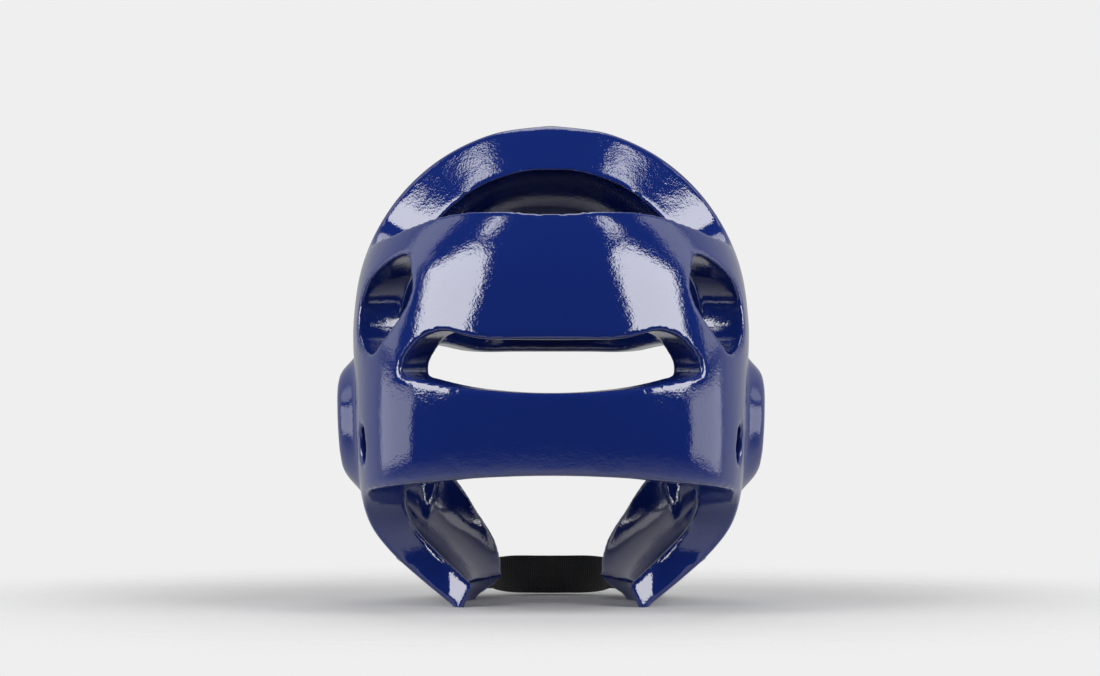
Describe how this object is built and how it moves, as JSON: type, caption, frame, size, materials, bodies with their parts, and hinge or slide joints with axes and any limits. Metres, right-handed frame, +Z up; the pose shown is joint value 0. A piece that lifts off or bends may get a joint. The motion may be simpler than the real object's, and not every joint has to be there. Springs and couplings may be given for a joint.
{
  "type": "taekwondo head guard",
  "caption": "Hollow one-piece dipped-foam head guard with open crown, rear slot, side windows, ear holes and cheek guards, and an elastic chin strap.",
  "frame": {"origin": "middle of the footprint on the surface that the guard stands on, between the lower edges of the two cheek guards", "axes": "+Z up, the wearer faces -Y, +X to the wearer's left, symmetric left to right"},
  "size_m": [0.24, 0.25, 0.2661],
  "materials": {
    "dipped_foam": "deep blue vinyl dip over foam, high gloss with a fine orange-peel texture",
    "elastic": "black woven elastic webbing, matt",
    "hook_pad": "black hook-and-loop pad, matt"
  },
  "bodies": {
    "root": {"shell": "dipped_foam", "chin_strap": "elastic", "strap_fixing_left": "hook_pad", "strap_fixing_right": "hook_pad"}
  },
  "joints": []
}
